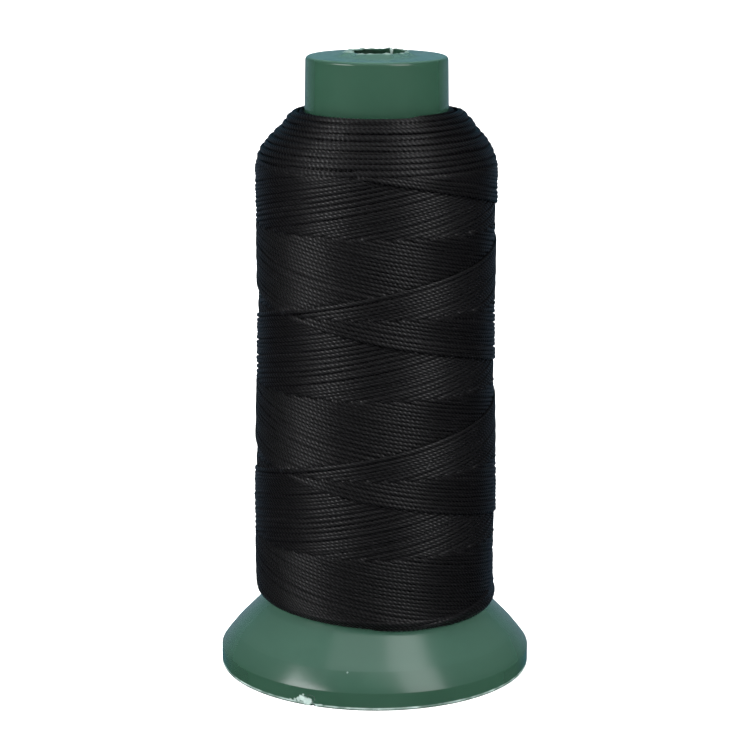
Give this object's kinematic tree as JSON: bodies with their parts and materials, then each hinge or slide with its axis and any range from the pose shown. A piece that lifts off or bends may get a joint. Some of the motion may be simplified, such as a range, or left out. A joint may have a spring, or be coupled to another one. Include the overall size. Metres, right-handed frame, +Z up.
{
  "type": "spool of sewing thread",
  "caption": "Tall moulded spool with a flared foot and a plain neck, cross-wound with black twisted sewing thread; it stands on its rim or drops over a spool pin.",
  "frame": {"origin": "middle of the foot's lower edge, on the surface that the spool stands on", "axes": "+Z up along the spool's axis; -Y is the front, where the lower turns reach further down the flare on the +X side"},
  "size_m": [0.0812, 0.0812, 0.1611],
  "materials": {
    "spool_plastic": "moulded, satin, dark green",
    "sewing_thread": "twisted filament, lustrous, black"
  },
  "bodies": {
    "root": {"spool": "spool_plastic", "thread": "sewing_thread"}
  },
  "joints": []
}
